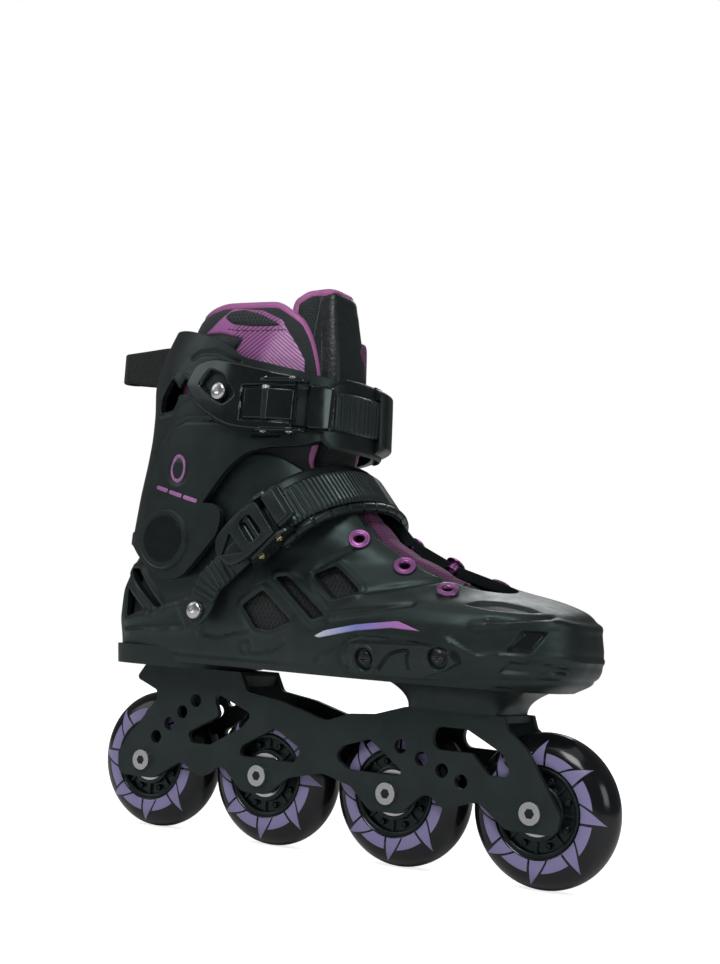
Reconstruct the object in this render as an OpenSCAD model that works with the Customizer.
// Inline skate for the right foot: four wheels in line under a plate frame, a moulded boot
// shell with a hinged ankle cuff, a soft liner with a tongue, and two ratchet buckle straps.
// X points to the toe, Y to the inner side of the foot, Z up. The origin is on the ground,
// midway between the first and last axle, in the plane of the wheels.

/* [Wheels] */
// Wheel diameter
wheel_d = 72; // [70:0.5:72]
// Width of a wheel across its hub and tyre
wheel_w = 24; // [22:0.5:24]
// Distance between neighbouring axles
axle_pitch = 75.67; // [75.5:0.01:76]
// Radius at which the tyre meets the hub
hub_r = 21; // [19:0.5:22]
// Balls in each bearing
ball_count = 7; // [6:1:8]

/* [Frame] */
// Width over the two side plates
frame_w = 35; // [35:0.5:36]
// Thickness of each side plate
plate_t = 3; // [2.5:0.1:3]
// Height of the rear deck, under the heel
rear_deck_z = 87; // [87:0.5:88]
// Height of the front deck, under the ball of the foot
front_deck_z = 78; // [78:0.5:79]

/* [Boot] */
// Wall thickness of the shell and the cuff
wall = 3.2; // [3:0.1:3.4]
// Thickness of the liner's padding
padding = 5; // [4:0.5:5]
// Extra height of the instep on the inner side, per mm from the middle
instep_lean = 0.095; // [0:0.005:0.15]
// Thickness of the insole
insole_t = 3; // [2:0.5:4]

/* [Cuff pivot] */
// Position of the ankle pivot along the foot
pivot_x = -88; // [-89:0.5:-87]
// Height of the ankle pivot
pivot_z = 152.5; // [152:0.5:153]
// Radius of the round cover over the pivot
cap_r = 12; // [11:0.5:12]

/* [Straps] */
// Width of the ladder straps
strap_w = 20; // [18:0.5:20]
// Height of the middle of the cuff strap
cuff_strap_z = 221; // [220:0.5:222]
// Angle of the instep strap above the ground
instep_tilt = 40.4; // [39:0.2:42]
// Pitch of the fine teeth on the ladder straps
tooth_pitch = 3; // [2.5:0.5:4]

/* [Hidden] */
wheel_r = wheel_d / 2;
fine = 96;
coarse = 32;
touch = 0.05;              // running clearance on a radius
overlap = 0.5;             // how far joined solids run into each other
through = 200;             // longer than anything it drills

// Axles and 608 bearings
axle_r = 4 - touch;
axle_screw_r = 3;
bolt_head_r = 5.25;
bolt_head_h = 2.3;
hex_key_r = 2.4;
bearing_r = 11;
bearing_w = 7;
race_gap_r = 7.5;          // pitch radius of the balls
ball_r = 2;
inner_race_r = 5.75;
outer_race_inner_r = 9.3;
shield_inner_r = 6.1;
shield_t = 0.4;
spacer_len = 10;
spacer_r = 5.5;
bearing_y = spacer_len / 2 + bearing_w / 2;

// Frame
plate_y = frame_w / 2 - plate_t;
rear_deck_t = 7.5;
front_deck_t = 3.5;
frame_bolt_r = 4;
frame_bolt_x = axle_pitch; // between the outer pairs of wheels
frame_bolt_head_r = 7;
frame_bolt_head_h = 3;
washer_r = 9;
washer_t = 1.5;

// Shell
shell_bottom_z = 90;
floor_z = 98;
toe_squareness = 3;
toe_shift = 3;              // how far the toe turns in
cuff_squareness = 2.4;

// Height, back, front, half width at the heel, half width at the ball of the foot
SHELL = [
    [84, -132, 110, 32, 38], [90, -133, 118, 34, 42], [94, -133, 127, 35, 45],
    [100, -133, 131, 36, 48], [110, -135, 131.5, 38, 49], [120, -135, 130, 39, 48],
    [127, -134.5, 124, 40, 46], [132, -133, 108, 40.5, 43], [135.5, -132, 88, 41, 39],
    [146, -129, 60, 41, 34.5], [160, -126.5, 30, 41, 36], [180, -122, 8, 41, 36.5],
    [200, -117, -8, 41, 37], [215, -115, -4, 40, 38], [240, -115, -4, 40, 38],
    [262, -111, -5, 39, 37], [276, -107, -6, 38, 36], [290, -104, -7, 36, 35]
];
HEEL_SQUARENESS = [[100, 5], [125, 4.2], [145, 2.8], [165, 2.4]];

// Height, back, front and half width of the cuff
CUFF = [
    [125, -134, 4, 46], [155, -133.5, 3, 46.3], [177, -130, 2, 47], [193, -126.5, 1, 47.3],
    [206, -124.5, 0, 47.3], [220, -124, -0.5, 47.3], [235, -125.5, -1, 47], [246, -123, -2, 46],
    [257, -118, -3, 45], [276, -108, -6, 42]
];

// Rim heights by angle from the toe: 0 is the front, 180 the back
// The throat is open between the two edge angles, above the throat's lowest height
throat_edge = 31;
throat_z = 135.5;
SHELL_RIM = [[31, 160], [38, 166], [45, 182], [60, 198], [100, 196], [120, 170], [135, 154],
             [180, 152]];
LINER_RIM = [[31, 226], [37, 246], [44, 258], [53, 267], [75, 276], [110, 277], [140, 274],
             [180, 273]];
LOW_ROWS = [0, 0.22, 0.44, 0.66, 0.81, 0.92, 1];         // shares of the height up to the throat
SHELL_ROWS = [0.12, 0.25, 0.42, 0.6, 0.8, 1];            // shares from the throat to the rim
LINER_ROWS = [0.06, 0.13, 0.22, 0.32, 0.45, 0.6, 0.8, 1];
CUFF_BOTTOM = [[0, 207], [30, 206], [55, 201], [68, 200], [78, 196], [86, 186], [91, 171],
               [94, 158], [99, 140], [104, 132], [116, 132.5], [126, 140], [138, 147], [180, 148]];
CUFF_TOP = [[0, 238], [40, 238], [70, 243], [82, 247], [94, 255], [112, 262], [135, 266],
            [180, 268]];

// Clearances of the soft parts
liner_inset = 5.2;
tongue_inset = 11.5;        // of its wings
tongue_front_inset = 5.5;   // of its middle
tongue_t = 7;

// Pivot stack, measured out from the middle plane
boss_y = 42;
cuff_boss_in = 42.4;
pivot_head_in = 44.7;
pivot_head_out = 46.2;
cap_in = 46.5;
cap_out = 48.5;
pivot_shoulder_r = 6;
pivot_head_r = 9.5;
pivot_screw_r = 3;
boss_root = 38.6;
nut_r = 6.6;
nut_depth = 7.6;           // from the boss's face to the nut's flange, inside the shell
pivot_seat = 6.6;          // from the boss's face to the flat the nut sits on
eyelet_r = 6;
eyelet_tube_r = 4.15;      // the sleeve through the shell
eyelet_hole_r = 2.5;
seat_gap = 0.3;            // clearance round a seated eyelet or nut
clearance_l = 20;          // length of the drills that clear the shell's wall
arc_steps = 28;            // sides of a band round the cuff
anchor_boss_h = 8;         // how far the strap anchors stand out of the shell

// Buckles: u runs along the strap, v out from the boot
buckle_half_w = strap_w / 2 + 0.6;
cheek_t = 1.8;
buckle_base_w = 2 * (buckle_half_w + cheek_t) - 0.4;
buckle_pin_r = 1.5;
lever_pin = [11, 7.4];
pawl_pin = [-3, 5.6];
cuff_buckle_at = [-27, -43.9];
cuff_buckle_turn = 17.5;
instep_start = [-67.7, 122.5];
anchor_drop = 7.2;         // the outer anchor screw sits this far below the strap's middle
anchor_w = 15;
anchor_strap_end = 40.2;
instep_half_w = 44.2;
instep_reach = 94;         // from the strap's anchor to the crown of the instep
instep_bend = 68;          // where the strap starts to curl over the instep
instep_buckle_u = 53;

AXLES = [for (i = [0:3]) (1.5 - i) * axle_pitch];
MESH_SPAN = [62, 72, 82, 90, 98];                        // angles that the vent mesh covers
MESH_ROWS = [1:8];                                       // and the shell's rows that it covers
EYELETS = [[45.4, 157], [39.8, 146.5], [38.6, 136.7]];   // angle and height of each lace eyelet
SLIDER_SCREWS = [[-80.4, 100.4], [-63.9, 103.4]];
VENT_A = [[-36, 120, 2], [-23, 130, 2], [-5, 115, 1], [-22, 109, 2]];
VENT_B = [[-19, 135.5, 1], [-6, 135, 1], [14, 119.5, 1], [8, 115, 1]];
VENT_C = [[4, 139, 1], [19, 143.5, 2], [31.5, 130, 1], [18, 126, 1]];
HEEL_SLOT = [[-109, 136, 1], [-104, 137, 1], [-87, 119, 1], [-91, 117.5, 1]];
HEEL_VENT = [[-110.5, 128, 1], [-99, 116, 1], [-110, 110.5, 1]];

// ---- Geometry helpers ----

function smooth(u) = let (c = max(0, min(1, u))) c * c * (3 - 2 * c);
function power(v, p) = sign(v) * pow(abs(v), p);
function flat(p) = [p[0], p[1]];
function flip(points) = [for (p = points) [p[0], -p[1]]];
function backwards(points) = [for (i = [len(points) - 1:-1:0]) points[i]];
function column(rows, k) = [for (r = rows) [r[0], r[k]]];
function unit(v) = v / norm(v);

// Points of the arc that rounds corner b, between neighbours a and c
function corner(a, b, c, r, n) =
    let (p = unit(a - b), q = unit(c - b), half = acos(p * q) / 2,
         middle = b + unit(p + q) * r / sin(half),
         from = b + p * r / tan(half) - middle, to = b + q * r / tan(half) - middle,
         start = atan2(from[1], from[0]), raw = atan2(to[1], to[0]) - start,
         sweep = raw > 180 ? raw - 360 : raw < -180 ? raw + 360 : raw)
    [for (i = [0:n]) middle + r * [cos(start + sweep * i / n), sin(start + sweep * i / n)]];

// A closed outline from corners given as [x, y, radius]
function rounded(corners, n = 5) =
    let (m = len(corners), at = function (i) let (c = corners[(i + m) % m]) [c[0], c[1]])
    [for (i = [0:m - 1]) each corners[i][2] == 0 ? [at(i)]
        : corner(at(i - 1), at(i), at(i + 1), corners[i][2], n)];

// A point of the boot at angle t and height z, moved in by inset
function boot_point(t, z, inset = 0, drop = 0) =
    let (zz = z + drop, back = lookup(zz, column(SHELL, 1)) + inset,
         front = lookup(zz, column(SHELL, 2)) - inset,
         heel_w = lookup(zz, column(SHELL, 3)) - inset,
         ball_w = lookup(zz, column(SHELL, 4)) - inset,
         middle = (back + front) / 2, half = (front - back) / 2,
         n = cos(t) < 0 ? lookup(zz, HEEL_SQUARENESS) : toe_squareness,
         x = middle + half * power(cos(t), 2 / n),
         w = heel_w + (ball_w - heel_w) * smooth((x + 60) / 100),
         y = w * power(sin(t), 2 / n) + toe_shift * smooth((x - 40) / 100),
         lean = instep_lean * smooth((x - 10) / 50) * smooth((z - 112) / 25))
    [x, y, z + lean * y];

// A point of the cuff's outer face
function cuff_point(t, z, inset = 0) =
    let (back = lookup(z, column(CUFF, 1)) + inset, front = lookup(z, column(CUFF, 2)) - inset,
         w = lookup(z, column(CUFF, 3)) - inset, middle = (back + front) / 2)
    [middle + (front - back) / 2 * power(cos(t), 2 / cuff_squareness),
     w * power(sin(t), 2 / cuff_squareness), z];

// Closed angles for a full ring, closer together at the edges of the throat
HALF_RING = [0, 7, 14, 20, 26, 31, 37, 44, 53, 62, 72, 82, 90, 98, 106, 115, 125, 135, 146, 158,
             170];
RING = concat(HALF_RING, [180], [for (i = [len(HALF_RING) - 1:-1:1]) -HALF_RING[i]]);

// The height of row j at angle t: a tub up to the throat, then a wall up to the rim
function boot_level(t, j, base, rim, rows) =
    let (low = len(LOW_ROWS) - 1)
    j <= low ? base + (throat_z - base) * LOW_ROWS[j]
        : throat_z + (lookup(abs(t), rim) - throat_z) * rows[j - low - 1];
function boot_grid(base, rim, rows, inset, drop) =
    [for (j = [0:len(LOW_ROWS) + len(rows) - 1])
        [for (t = RING) boot_point(t, boot_level(t, j, base, rim, rows), inset, drop)]];

// A boot between an outer and an inner grid, closed below and open at the throat and the top
module boot_solid(outer, inner) {
    m = len(RING);
    last = len(outer) - 1;
    low = len(LOW_ROWS) - 1;
    n = (last + 1) * m;
    next = function (i) (i + 1) % m;
    tall = function (i) abs(RING[i % m]) >= throat_edge;
    solid = function (j, i) j < low || (tall(i) && tall(i + 1));
    sides = [for (j = [0:last - 1], i = [0:m - 1]) if (solid(j, i))
        let (a = j * m + i, b = j * m + next(i))
        each [[a, a + m, b], [b, a + m, b + m], [n + a, n + b, n + a + m], [n + b, n + b + m, n + a + m]]];
    rims = [for (i = [0:m - 1]) let (j = solid(low, i) ? last : low, a = j * m + i, b = j * m + next(i))
        each [[a, n + b, b], [a, n + a, n + b]]];
    edges = [for (j = [low:last - 1], i = [0:m - 1])
        let (a = j * m + i, b = a + m, here = solid(j, i), before = solid(j, (i + m - 1) % m))
        each here && !before ? [[a, n + a, n + b], [a, n + b, b]]
            : before && !here ? [[a, n + b, n + a], [a, b, n + b]] : []];
    bottoms = [[for (i = [0:m - 1]) i], [for (i = [m - 1:-1:0]) n + i]];
    polyhedron(points = concat([for (r = outer) each r], [for (r = inner) each r]),
        faces = concat(sides, rims, edges, bottoms));
}

// An open wall between two grids of the same size: outer[j][i] and inner[j][i]
module wall_between(outer, inner) {
    rows = len(outer);
    m = len(outer[0]);
    n = rows * m;
    points = concat([for (r = outer) each r], [for (r = inner) each r]);
    sides = [for (j = [0:rows - 2], i = [0:m - 2])
        let (a = j * m + i, b = a + 1)
        each [[a, b + m, b], [a, a + m, b + m], [n + a, n + b, n + b + m], [n + a, n + b + m, n + a + m]]];
    ends = [for (j = [0, rows - 1], i = [0:m - 2])
        let (a = j * m + i, b = a + 1)
        each j == 0 ? [[a, b, n + b], [a, n + b, n + a]] : [[a, n + b, b], [a, n + a, n + b]]];
    edges = [for (i = [0, m - 1], j = [0:rows - 2])
        let (a = j * m + i, b = a + m)
        each i == 0 ? [[a, n + a, n + b], [a, n + b, b]] : [[a, n + b, n + a], [a, b, n + b]]];
    polyhedron(points = points, faces = concat(sides, ends, edges));
}

// Repeats its children on both sides of the boot
module both_sides() {
    children();
    mirror([0, 1, 0]) children();
}

// Puts local Z along Y, pointing to the outer side, on axle i
module on_axle(i) translate([AXLES[i], 0, wheel_r]) rotate([90, 0, 0]) children();
module on_axles() for (i = [0:3]) on_axle(i) children();
module at_frame_bolts(z) for (x = [-frame_bolt_x, frame_bolt_x]) translate([x, 0, z]) children();

// Draws a flat outline in the X-Z plane as thick as w, centred on the wheels' plane
module side_profile(w) rotate([90, 0, 0]) linear_extrude(w, center = true) children();

module ring(inner, outer, h) rotate_extrude($fn = fine)
    translate([inner, -h / 2]) square([outer - inner, h]);

// ---- Wheels ----

module tyre(i) color("#15151a") on_axle(i) rotate_extrude($fn = fine) union() {
    intersection() {
        translate([wheel_r - wheel_w / 2, 0]) circle(r = wheel_w / 2);
        translate([hub_r, -wheel_w]) square(2 * wheel_w);
    }
    translate([hub_r, -wheel_w / 2 + 0.3]) square([wheel_r - wheel_w / 2 - hub_r, wheel_w - 0.6]);
}

module hub(i) color("#1c1c20") on_axle(i) difference() {
    rotate_extrude($fn = fine) difference() {
        translate([0, -wheel_w / 2]) square([hub_r, wheel_w]);
        translate([0, -wheel_w / 2 - 1]) square([outer_race_inner_r + 0.4, wheel_w + 2]);
        for (s = [-1, 1]) translate([0, s * bearing_y - bearing_w / 2]) square([bearing_r, bearing_w]);
        for (s = [-1, 1]) translate([bearing_r + 2, s * wheel_w / 2 - 4]) square([hub_r - bearing_r - 4, 8]);
    }
    for (a = [0:60:300]) rotate(a) translate([bearing_r + 4.5, 0, 0])
        cylinder(r = 1.6, h = through, center = true, $fn = coarse);
}

module bearing_outer_races(i) color("silver") on_axle(i) for (s = [-1, 1]) translate([0, 0, s * bearing_y])
    rotate_extrude($fn = fine) union() {
        difference() {
            translate([outer_race_inner_r, -bearing_w / 2])
                square([bearing_r - outer_race_inner_r, bearing_w]);
            translate([race_gap_r, 0]) circle(r = ball_r + touch);
        }
        translate([shield_inner_r, s * (bearing_w / 2 - shield_t / 2) - shield_t / 2])
            square([outer_race_inner_r - shield_inner_r + overlap, shield_t]);
    }

module bearing_balls(i) color("gainsboro") on_axle(i) for (s = [-1, 1], k = [0:ball_count - 1])
    rotate(k * 360 / ball_count) translate([race_gap_r, 0, s * bearing_y]) sphere(r = ball_r, $fn = coarse);

module bearing_inner_races() color("silver") on_axles() for (s = [-1, 1]) translate([0, 0, s * bearing_y])
    rotate_extrude($fn = fine) difference() {
        translate([axle_r + touch, -bearing_w / 2]) square([inner_race_r - axle_r - touch, bearing_w]);
        translate([race_gap_r, 0]) circle(r = ball_r + touch);
    }

module bearing_spacers() color("silver") on_axles() ring(axle_r + touch, spacer_r, spacer_len);

// ---- Axles ----

module axle_head() difference() {
    cylinder(r = bolt_head_r, h = bolt_head_h, $fn = fine);
    translate([0, 0, 0.8]) cylinder(r = hex_key_r, h = bolt_head_h, $fn = 6);
}

module axle_bolts() color("silver") on_axles() difference() {
    union() {
        translate([0, 0, -frame_w / 2 + 0.2]) cylinder(r = axle_r, h = frame_w, $fn = fine);
        translate([0, 0, frame_w / 2]) axle_head();
    }
    translate([0, 0, -frame_w / 2]) cylinder(r = axle_screw_r, h = frame_w * 0.55, $fn = fine);
}

module axle_screws() color("silver") on_axles() mirror([0, 0, 1]) {
    translate([0, 0, frame_w / 2]) axle_head();
    translate([0, 0, frame_w / 2 - 15]) cylinder(r = axle_screw_r - touch, h = 15 + overlap, $fn = fine);
}

// ---- Frame ----

module frame_outline() polygon(rounded([
    [-116.5, rear_deck_z, 0], [-122.5, 79, 2], [-108, 73.5, 1.5], [-107.5, 69, 2], [-131, 39, 4],
    [-130, 27, 5], [-106, 27, 8], [-88, 38, 6], [-75, 30.5, 8], [-62, 39, 6], [-48, 27, 5],
    [-33, 27, 5], [-20, 36.8, 6], [0, 41.5, 14], [17, 37, 5], [28, 27, 5], [45, 27, 5],
    [59, 39.5, 6], [68, 32, 6], [86, 38, 6], [101, 27, 6], [126, 27, 5], [128, 36, 6],
    [109.5, 64, 8], [99, 72, 2], [97, front_deck_z, 0], [45, front_deck_z, 6], [28, 73, 8],
    [13, 71.8, 5], [0, 67, 10], [-28, 74.5, 8], [-49, 77.5, 4], [-54, rear_deck_z, 0]
]));

module frame_windows() {
    polygon(rounded([[-71, 76, 2.5], [-65.5, 63.5, 2], [-85.5, 53, 2.5], [-82.5, 48, 2.5],
                     [-70.5, 48, 4], [-50.5, 59, 4], [-44.5, 66, 2.5]]));
    polygon(rounded([[-51.5, 44.6, 2], [-49.5, 50, 2], [-30, 60.5, 3], [-13, 51.5, 3],
                     [-17, 44.6, 3]]));
    polygon(rounded([[6.5, 50, 3], [11, 56, 3], [26, 60.8, 3], [46, 46.8, 2], [43, 44.8, 1],
                     [15, 44.8, 4]]));
    polygon(rounded([[60.5, 70.4, 5], [78.5, 70.4, 4], [97.5, 61, 4], [103.5, 50.4, 3],
                     [91, 50.4, 2], [81.5, 59.5, 3], [60.5, 59.5, 5]]));
    for (p = [[-106, 48.9], [-97.8, 56.5], [-89.8, 63.4], [-81.4, 70],
              [43.4, 58.9], [55, 54.3], [66.4, 50], [76.9, 46]])
        translate(p) circle(r = 3.4, $fn = fine);
}

module frame() color("#1b1b1d") difference() {
    union() {
        intersection() {
            side_profile(frame_w) difference() {
                frame_outline();
                frame_windows();
            }
            both_sides() translate([-150, plate_y, 0]) cube([300, plate_t, 100]);
        }
        intersection() {
            side_profile(frame_w - plate_t) frame_outline();
            union() {
                translate([-115, -frame_w, rear_deck_z - rear_deck_t])
                    cube([62, 2 * frame_w, rear_deck_t + 1]);
                translate([46, -frame_w, front_deck_z - front_deck_t])
                    cube([50, 2 * frame_w, front_deck_t + 1]);
                translate([-7, -frame_w, 60]) cube([14, 2 * frame_w, 5]);
            }
        }
        on_axles() both_ends() translate([0, 0, wheel_w / 2])
            cylinder(r = inner_race_r - touch, h = plate_y - wheel_w / 2 + overlap, $fn = fine);
    }
    on_axles() cylinder(r = axle_r + touch, h = through, center = true, $fn = fine);
    at_frame_bolts(70) cylinder(r = frame_bolt_r + touch, h = 30, $fn = fine);
}

module both_ends() {
    children();
    mirror([0, 0, 1]) children();
}

// Bolt heads sit under the decks, with a washer between head and deck
function deck_underside(x) = x < 0 ? rear_deck_z - rear_deck_t : front_deck_z - front_deck_t;

module frame_mount_bolts() color("silver") for (x = [-frame_bolt_x, frame_bolt_x])
    translate([x, 0, deck_underside(x) - washer_t - frame_bolt_head_h]) difference() {
        union() {
            cylinder(r = frame_bolt_head_r, h = frame_bolt_head_h, $fn = fine);
            cylinder(r = frame_bolt_r, h = floor_z - 3 - deck_underside(x) + washer_t + frame_bolt_head_h,
                $fn = fine);
        }
        translate([0, 0, -1]) cylinder(r = 2.9, h = 3, $fn = 6);
    }

module frame_mount_washers() color("silver") for (x = [-frame_bolt_x, frame_bolt_x])
    translate([x, 0, deck_underside(x) - washer_t / 2]) ring(frame_bolt_r + 0.2, washer_r, washer_t);

// ---- Boot shell ----

module at_pivots() both_sides() translate([pivot_x, 0, pivot_z]) rotate([90, 0, 0]) children();

module boot_side_cut(corners) side_profile(2 * through) polygon(rounded(corners, 3));

module shell_body() boot_solid(
    boot_grid(shell_bottom_z, SHELL_RIM, SHELL_ROWS, 0, 0),
    boot_grid(floor_z, SHELL_RIM, SHELL_ROWS, wall, wall));

module sole_blocks() {
    translate([0, 0, rear_deck_z]) linear_extrude(10) polygon(rounded([
        [-132, -34.5, 22], [-68, -34.5, 3], [-68, 34.5, 3], [-132, 34.5, 22]]));
    hull() {
        translate([44, -21, front_deck_z]) cube([51, 42, 1]);
        translate([34, -30, shell_bottom_z + 1]) cube([70, 60, 1]);
    }
}

module shell() color("#202024") difference() {
    union() {
        shell_body();
        sole_blocks();
        at_pivots() translate([0, 0, boss_root]) cylinder(r = 10, h = boss_y - boss_root, $fn = fine);
        at_instep_anchors() translate([0, 0, -anchor_boss_h])
            cylinder(r = 8, h = anchor_boss_h + 0.2, $fn = fine);
    }
    for (cut = [VENT_A, VENT_B, VENT_C, HEEL_SLOT, HEEL_VENT]) boot_side_cut(cut);
    at_pivots() cylinder(r = 4.6, h = boss_y + 1, $fn = fine);
    at_frame_bolts(front_deck_z - 1)
        cylinder(r = frame_bolt_r + touch, h = floor_z - front_deck_z - 1, $fn = fine);
    at_eyelets() {
        cylinder(r = eyelet_tube_r + touch, h = clearance_l, center = true, $fn = fine);
        translate([0, 0, 0.2]) cylinder(r = eyelet_r + seat_gap, h = 6, $fn = fine);
    }
    at_pivots() translate([0, 0, boss_y - through - pivot_seat])
        cylinder(r = nut_r + seat_gap, h = through, $fn = fine);
    at_slider_screws() cylinder(r = 2.05, h = clearance_l, center = true, $fn = fine);
    at_instep_anchors() cylinder(r = 2.55, h = 30, center = true, $fn = fine);
}

// Local Z points out of the shell at angle t and height z
function shell_normal(t, z) = unit(cross(
    boot_point(t, z + 0.5) - boot_point(t, z - 0.5),
    boot_point(t + 0.5, z) - boot_point(t - 0.5, z))) * -1;
module on_shell(t, z) {
    n = shell_normal(t, z);
    translate(boot_point(t, z)) rotate([0, acos(n[2]), atan2(n[1], n[0])]) children();
}

module at_eyelets() for (e = EYELETS, s = [-1, 1]) on_shell(s * e[0], e[1]) children();

module lace_eyelets() color("#9b4fa0") at_eyelets() difference() {
    union() {
        translate([0, 0, 0.4]) cylinder(r = eyelet_r, h = 1.2, $fn = fine);
        translate([0, 0, -wall]) cylinder(r = eyelet_tube_r, h = wall + 1, $fn = fine);
    }
    cylinder(r = eyelet_hole_r, h = clearance_l, center = true, $fn = fine);
}

module vent_mesh() color("#08080a") for (span = [-MESH_SPAN, backwards(MESH_SPAN)])
    wall_between(mesh_grid(span, wall + 0.3), mesh_grid(span, wall + 0.9));
function mesh_grid(span, inset) = [for (j = MESH_ROWS) [for (t = span)
    boot_point(t, boot_level(t, j, floor_z, SHELL_RIM, SHELL_ROWS), inset, inset)]];

// ---- Side slider: the replaceable rub plate on the outer side ----

SLIDER_SPAN = [for (t = [84:-4:56]) t];
module at_slider_screws() for (p = SLIDER_SCREWS) on_shell(p[0], p[1]) children();

module side_slider() color("#2a2a2e") difference() {
    wall_between(
        [for (z = [93:3:108]) [for (t = SLIDER_SPAN) boot_point(-t, z, -2.6)]],
        [for (z = [93:3:108]) [for (t = SLIDER_SPAN) boot_point(-t, z, -0.4)]]);
    at_slider_screws() cylinder(r = 2.1, h = 20, center = true, $fn = fine);
    at_slider_screws() translate([0, 0, 1.4]) cylinder(r = 4.6, h = 10, $fn = fine);
}

module side_slider_screws() color("silver") at_slider_screws() {
    translate([0, 0, 1.5]) cylinder(r = 3.9, h = 1, $fn = fine);
    translate([0, 0, -4]) cylinder(r = 2, h = 6, $fn = fine);
}

// ---- Soft parts ----

module liner() color("#2a2a2c") {
    bottom = floor_z + 0.6;
    drop = wall + 1;
    boot_solid(
        boot_grid(bottom, LINER_RIM, LINER_ROWS, liner_inset, drop),
        boot_grid(bottom + padding, LINER_RIM, LINER_ROWS, liner_inset + padding, drop + padding));
}

// The middle of the tongue fills the throat; its wings lie inside the liner
function tongue_point(t, z, depth) =
    let (wing = smooth((abs(t) - 12) / 15),
         inset = tongue_front_inset + (tongue_inset - tongue_front_inset) * wing + depth)
    boot_point(t, z, inset, inset);

module tongue() color("#2e2e30") {
    rows = [137, 142, 150, 160, 172, 186, 202, 220, 240, 262, 287];
    angles = [for (t = [-60:6:60]) t];
    outer = [for (z = rows) [for (t = angles) tongue_point(t, z, 0)]];
    inner = [for (z = rows) [for (t = angles) tongue_point(t, z, tongue_t)]];
    wall_between(outer, inner);
}

module insole() color("#5a5a5e") translate([0, 0, floor_z + padding + 1]) linear_extrude(insole_t)
    polygon([for (t = RING) let (p = boot_point(t, floor_z + 1, liner_inset + padding + 1.2)) [p[0], p[1]]]);

// ---- Cuff ----

module cuff_body() {
    levels = 6;
    angles = [for (t = [10:10:350]) t];
    fold = function (t) min(t, 360 - t);
    height = function (t, j) lookup(fold(t), CUFF_BOTTOM)
        + (lookup(fold(t), CUFF_TOP) - lookup(fold(t), CUFF_BOTTOM)) * j / levels;
    wall_between(
        [for (j = [0:levels]) [for (t = angles) cuff_point(t, height(t, j))]],
        [for (j = [0:levels]) [for (t = angles) cuff_point(t, height(t, j), wall)]]);
}

module cuff() color("#202024") difference() {
    union() {
        cuff_body();
        at_pivots() translate([0, 0, cuff_boss_in])
            cylinder(r = cap_r + 3, h = cap_out - cuff_boss_in, $fn = fine);
    }
    at_pivots() {
        translate([0, 0, cuff_boss_in - 5]) cylinder(r = cap_r + 3.2, h = 5, $fn = fine);
        cylinder(r = pivot_shoulder_r + touch, h = through, $fn = fine);
        translate([0, 0, pivot_head_in - 0.1]) cylinder(r = pivot_head_r + 0.3, h = through, $fn = fine);
        translate([0, 0, cap_in]) cylinder(r = cap_r + touch, h = through, $fn = fine);
    }
    at_cuff_strap_screws() cylinder(r = 2.55, h = 20, center = true, $fn = fine);
}

module pivot_caps() color("#29292d") at_pivots() translate([0, 0, cap_in + touch])
    cylinder(r = cap_r, h = cap_out - cap_in, $fn = fine);

module pivot_bolts() color("silver") at_pivots() {
    translate([0, 0, pivot_head_in])
        cylinder(r = pivot_head_r, h = pivot_head_out - pivot_head_in, $fn = fine);
    translate([0, 0, boss_y])
        cylinder(r = pivot_shoulder_r, h = pivot_head_in - boss_y + overlap, $fn = fine);
    translate([0, 0, boss_y - 4]) cylinder(r = pivot_screw_r, h = 4 + overlap, $fn = fine);
}

module pivot_nuts() color("silver") at_pivots() difference() {
    union() {
        translate([0, 0, boss_y - nut_depth]) cylinder(r = 4.5, h = nut_depth - 0.6, $fn = fine);
        translate([0, 0, boss_y - nut_depth]) cylinder(r = nut_r, h = 0.8, $fn = fine);
    }
    cylinder(r = pivot_screw_r + touch, h = through, $fn = fine);
}

// A loop of webbing that stands out behind the cuff
module pull_loop() color("#0d0d0e") translate([0, 0, 252]) difference() {
    translate([-162, -5.5, -11]) cube([37, 11, 22]);
    translate([-160.4, -3.9, -20]) cube([60, 7.8, 40]);
}

// ---- Cuff strap and buckle ----

// A band around the cuff between two angles and two offsets from the cuff's face
function cuff_arc(a, b, out) = [for (k = [0:arc_steps])
    flat(cuff_point(a + (b - a) * k / arc_steps, cuff_strap_z, -out))];
function cuff_band(a, b, low, high) = concat(cuff_arc(a, b, high), backwards(cuff_arc(a, b, low)));

module cuff_band_solid(a, b, low, high, w) translate([0, 0, cuff_strap_z]) linear_extrude(w, center = true)
    polygon(cuff_band(a, b, low, high));

module on_cuff(t, z) {
    p = cuff_point(t, z);
    q = cuff_point(t + 0.5, z) - cuff_point(t - 0.5, z);
    translate(p) rotate([90, 0, atan2(q[1], q[0])]) children();
}

module at_cuff_strap_screws() {
    on_cuff(-86, cuff_strap_z + 7) children();
    on_cuff(88, cuff_strap_z) children();
}

module cuff_strap_screws() color("silver") at_cuff_strap_screws() {
    translate([0, 0, 5.4]) cylinder(r = 4.5, h = 1.6, $fn = fine);
    translate([0, 0, -2.8]) cylinder(r = 2.5, h = 8.4, $fn = fine);
}

module cuff_strap_shield() color("#17171a") cuff_band_solid(-34, 60, 0.7, 2.1, 34);

module cuff_ladder_strap() color("#1a1a1d") difference() {
    union() {
        cuff_band_solid(-80, 92, 2.4, 4.2, strap_w);
        for (t = [-28:4:12]) on_cuff(t, cuff_strap_z) translate([0, 0, 4])
            cube([2, strap_w - 2, 2], center = true);
    }
    at_cuff_strap_screws() cylinder(r = 2.55, h = 30, center = true, $fn = fine);
}

// The buckle's own frame: X along the strap to the toe, Y across it, Z out from the boot
module in_cuff_buckle() translate([cuff_buckle_at[0], cuff_buckle_at[1], cuff_strap_z])
    rotate([0, 0, cuff_buckle_turn]) rotate([90, 0, 0]) children();

// ---- Ratchet buckle, shared by both straps ----

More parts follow.
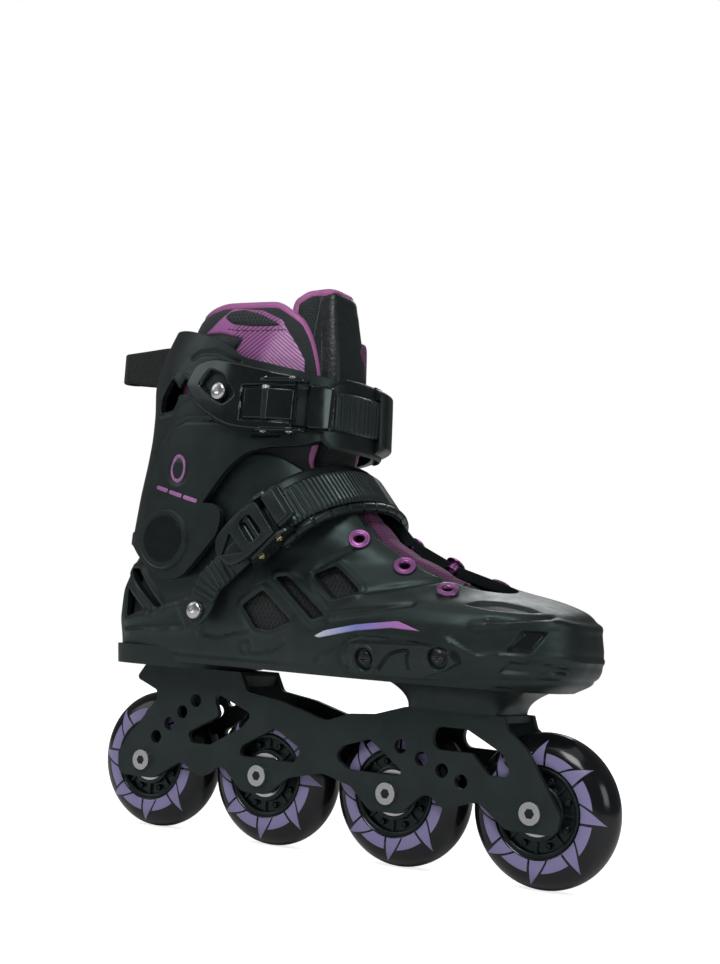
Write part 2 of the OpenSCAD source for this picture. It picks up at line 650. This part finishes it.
module across(w) rotate([90, 0, 0]) linear_extrude(w, center = true) children();
module pin_hole(at, r, w) translate([at[0], 0, at[1]]) rotate([90, 0, 0])
    cylinder(r = r, h = w, center = true, $fn = fine);

module buckle_cheeks() difference() {
    for (s = [-1, 1]) translate([0, s * (buckle_half_w + cheek_t / 2), 0]) across(cheek_t)
        polygon(rounded([[-14, -1.3, 0], [10.4, -1.3, 0], [10.4, 0.6, 0], [18, 0.6, 0], [18, 8, 3],
            [11, 11, 3], [-6, 9.5, 3]], 4));
    pin_hole(lever_pin, buckle_pin_r + touch, 2 * through);
    pin_hole(pawl_pin, buckle_pin_r + touch, 2 * through);
}

module buckle_pins() for (p = [lever_pin, pawl_pin]) {
    pin_hole(p, buckle_pin_r, 2 * buckle_half_w + 2 * cheek_t);
    for (s = [-1, 1]) translate([0, s * (buckle_half_w + cheek_t + 0.4), 0]) pin_hole(p, 2.2, 0.6);
}

module buckle_lever() difference() {
    union() {
        pin_hole(lever_pin, 2.8, 2 * buckle_half_w - 0.6);
        across(2 * buckle_half_w - 0.6) polygon(rounded([
            [lever_pin[0] + 1, lever_pin[1] + 0.4, 0], [lever_pin[0] + 1, lever_pin[1] + 3, 0.8],
            [-8, 11.2, 1], [-17, 10, 0.6], [-17, 8.8, 0.4], [-8, 8.4, 1], [5, 8.4, 1]], 4));
    }
    pin_hole(lever_pin, buckle_pin_r + touch, through);
}

module buckle_pawl() difference() {
    union() {
        pin_hole(pawl_pin, 2.2, strap_w - 5);
        translate([pawl_pin[0], 0, pawl_pin[1]]) across(strap_w - 5)
            polygon([[-1.6, -1], [1.5, -1.5], [5.2, -2.2], [4.4, -0.6], [0, 1]]);
    }
    pin_hole(pawl_pin, buckle_pin_r + touch, through);
}

// A torsion spring on the pawl's pin, closely wound
module buckle_spring() translate([pawl_pin[0], strap_w / 2 - 1.3, pawl_pin[1]]) rotate([90, 0, 0])
    for (k = [-1:1]) translate([0, 0, k * 0.6]) rotate_extrude($fn = fine) translate([2, 0]) circle(r = 0.35);

module cuff_buckle_base() color("#1a1a1d") difference() {
    union() {
        cuff_band_solid(-104, -56, 0.4, 2, buckle_base_w);
        cuff_band_solid(-104, -82, 1.6, 5.2, buckle_base_w - 0.6);
        in_cuff_buckle() buckle_cheeks();
    }
    cuff_band_solid(-84, 0, 2.15, 4.6, 2 * buckle_half_w);
    at_cuff_strap_screws() cylinder(r = 2.55, h = 30, center = true, $fn = fine);
}

module cuff_buckle_pins() color("silver") in_cuff_buckle() buckle_pins();
module cuff_buckle_lever() color("#141416") in_cuff_buckle() buckle_lever();
module cuff_buckle_pawl() color("#333336") in_cuff_buckle() buckle_pawl();
module cuff_buckle_spring() color("silver") in_cuff_buckle() buckle_spring();

// ---- Instep strap and buckle ----

// The strap lies in a plane that rises from the heel: X runs up that plane, Z is its normal
module in_instep_plane() translate([instep_start[0], 0, instep_start[1]])
    rotate([0, -instep_tilt, 0]) children();

// The strap's path: straight along each side, then half an ellipse over the instep
function instep_path(u, out) = u < instep_bend ? [u, -instep_half_w - out]
    : let (a = 90 * (u - instep_bend) / (instep_reach - instep_bend))
      [instep_bend + (instep_reach + out - instep_bend) * sin(a), -(instep_half_w + out) * cos(a)];
function instep_line(from, out) = concat([instep_path(from, out)],
    [for (k = [0:9]) instep_path(instep_bend + (instep_reach - instep_bend) * k / 9, out)]);

// A band from u = a on the outer side, over the instep, to u = b on the inner side
module instep_band(a, b, low, high, w) in_instep_plane() linear_extrude(w, center = true) polygon(concat(
    instep_line(a, high), backwards(flip(instep_line(b, high))),
    flip(instep_line(b, low)), backwards(instep_line(a, low))));

// A flat length of strap on the outer side
module instep_slab(a, b, low, high, w) in_instep_plane() linear_extrude(w, center = true)
    translate([a, -instep_half_w - high]) square([b - a, high - low]);

// Local Z points out of the boot at each anchor screw
module at_instep_anchors() in_instep_plane() {
    translate([0, -instep_half_w, -anchor_drop]) rotate([90, 0, 0]) children();
    translate([0, instep_half_w, 0]) rotate([-90, 0, 0]) children();
}

module instep_strap_screws() color("silver") at_instep_anchors() {
    translate([0, 0, 4.6]) cylinder(r = 5, h = 1.6, $fn = fine);
    translate([0, 0, -9.6]) cylinder(r = 2.5, h = 14.6, $fn = fine);
}

module instep_anchor_strap() color("#1c1c1f") difference() {
    union() {
        in_instep_plane() translate([0, -instep_half_w - 0.4, 0]) rotate([90, 0, 0]) linear_extrude(1.8)
            polygon(rounded([[-8, -15, 5], [-8, 1, 5], [9, anchor_w / 2, 4],
                [anchor_strap_end, anchor_w / 2, 0], [anchor_strap_end, -anchor_w / 2, 0],
                [12, -anchor_w / 2, 3], [6, -15, 5]]));
        in_instep_plane() translate([0, -instep_half_w - 2, -anchor_drop]) rotate([90, 0, 0])
            cylinder(r = 7, h = 2.4, $fn = fine);
        for (u = [12:3.5:33]) instep_slab(u, u + 1.8, 2, 3.6, anchor_w);
    }
    at_instep_anchors() cylinder(r = 2.55, h = 30, center = true, $fn = fine);
}

module instep_ladder_strap() color("#1c1c1f") difference() {
    union() {
        instep_band(43, -8, 2.6, 4.4, strap_w);
        for (u = [70:tooth_pitch:100]) instep_tooth(u);
    }
    at_instep_anchors() cylinder(r = 2.55, h = 30, center = true, $fn = fine);
}

module instep_tooth(u) {
    p = instep_path(u, 4.4);
    q = instep_path(u + 0.5, 4.4) - instep_path(u - 0.5, 4.4);
    in_instep_plane() translate(p) rotate([0, 0, atan2(q[1], q[0])])
        cube([1.4, 1.2, strap_w - 2], center = true);
}

module instep_strap_pad() color("#111113") instep_band(64, 40, 0.2, 2.4, 30);

module in_instep_buckle() in_instep_plane() translate([instep_buckle_u, -instep_half_w - 2.2, 0])
    rotate([90, 0, 0]) children();

module instep_buckle_base() color("#141416") {
    in_instep_buckle() buckle_cheeks();
    instep_slab(instep_buckle_u - 12.4, instep_buckle_u + 10.6, 0.4, 2.2, buckle_base_w);
}

module instep_buckle_pins() color("silver") in_instep_buckle() buckle_pins();
module instep_buckle_lever() color("#141416") in_instep_buckle() buckle_lever();
module instep_buckle_pawl() color("#333336") in_instep_buckle() buckle_pawl();
module instep_buckle_spring() color("silver") in_instep_buckle() buckle_spring();

// ---- Assembly ----

tyre(0);  // front_tyre
tyre(1);  // second_tyre
tyre(2);  // third_tyre
tyre(3);  // rear_tyre
hub(0);  // front_hub
hub(1);  // second_hub
hub(2);  // third_hub
hub(3);  // rear_hub
bearing_outer_races(0);  // front_bearing_outer_races
bearing_outer_races(1);  // second_bearing_outer_races
bearing_outer_races(2);  // third_bearing_outer_races
bearing_outer_races(3);  // rear_bearing_outer_races
bearing_balls(0);  // front_bearing_balls
bearing_balls(1);  // second_bearing_balls
bearing_balls(2);  // third_bearing_balls
bearing_balls(3);  // rear_bearing_balls
frame();
axle_bolts();
axle_screws();
bearing_spacers();
bearing_inner_races();
frame_mount_bolts();
frame_mount_washers();
shell();
side_slider();
side_slider_screws();
lace_eyelets();
vent_mesh();
liner();
tongue();
insole();
pivot_bolts();
pivot_nuts();
pivot_caps();
cuff();
pull_loop();
cuff_buckle_base();
cuff_buckle_pins();
cuff_buckle_lever();
cuff_buckle_pawl();
cuff_buckle_spring();
cuff_ladder_strap();
cuff_strap_shield();
cuff_strap_screws();
instep_buckle_base();
instep_buckle_pins();
instep_buckle_lever();
instep_buckle_pawl();
instep_buckle_spring();
instep_anchor_strap();
instep_ladder_strap();
instep_strap_pad();
instep_strap_screws();
